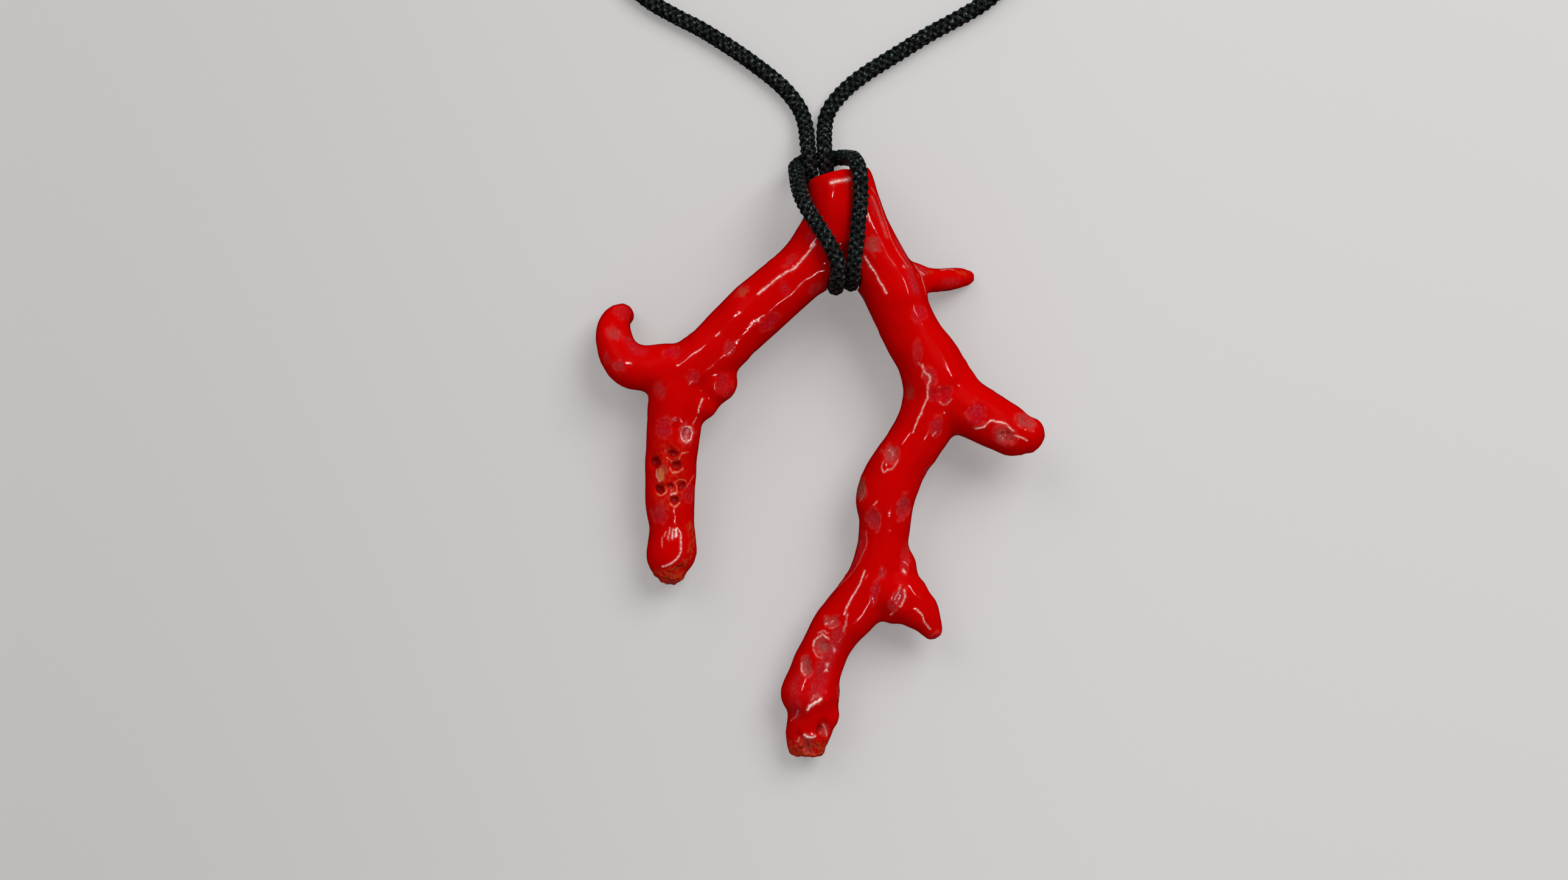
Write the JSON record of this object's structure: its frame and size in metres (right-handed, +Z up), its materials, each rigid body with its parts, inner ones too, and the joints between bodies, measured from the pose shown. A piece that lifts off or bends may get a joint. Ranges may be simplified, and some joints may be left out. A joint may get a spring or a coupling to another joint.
{
  "type": "red coral branch",
  "caption": "Polished red coral branch with forked limbs, a hooked twig and short spurs, lying down with a black braided cord hitched round its fork.",
  "frame": {"origin": "on the surface that the branch lies on, under the middle of the coral's box", "axes": "+Z up from the surface; +Y along the branch, from its broken tips to its sawn stem; +X to the right, seen from above"},
  "size_m": [0.0544, 0.1273, 0.0133],
  "materials": {
    "coral": "high polish, with dull polyp scars",
    "cord": "matt round braid"
  },
  "bodies": {
    "root": {"coral_stem": "coral", "coral_left_limb": "coral", "coral_left_hook": "coral", "coral_left_tip": "coral", "coral_right_limb": "coral", "coral_right_spur": "coral", "coral_right_prong": "coral", "coral_lower_limb": "coral", "coral_lower_tip": "coral", "coral_lower_spur": "coral", "cord_hitch": "cord", "cord_left_run": "cord", "cord_right_run": "cord", "cord_coil": "cord"}
  },
  "joints": []
}
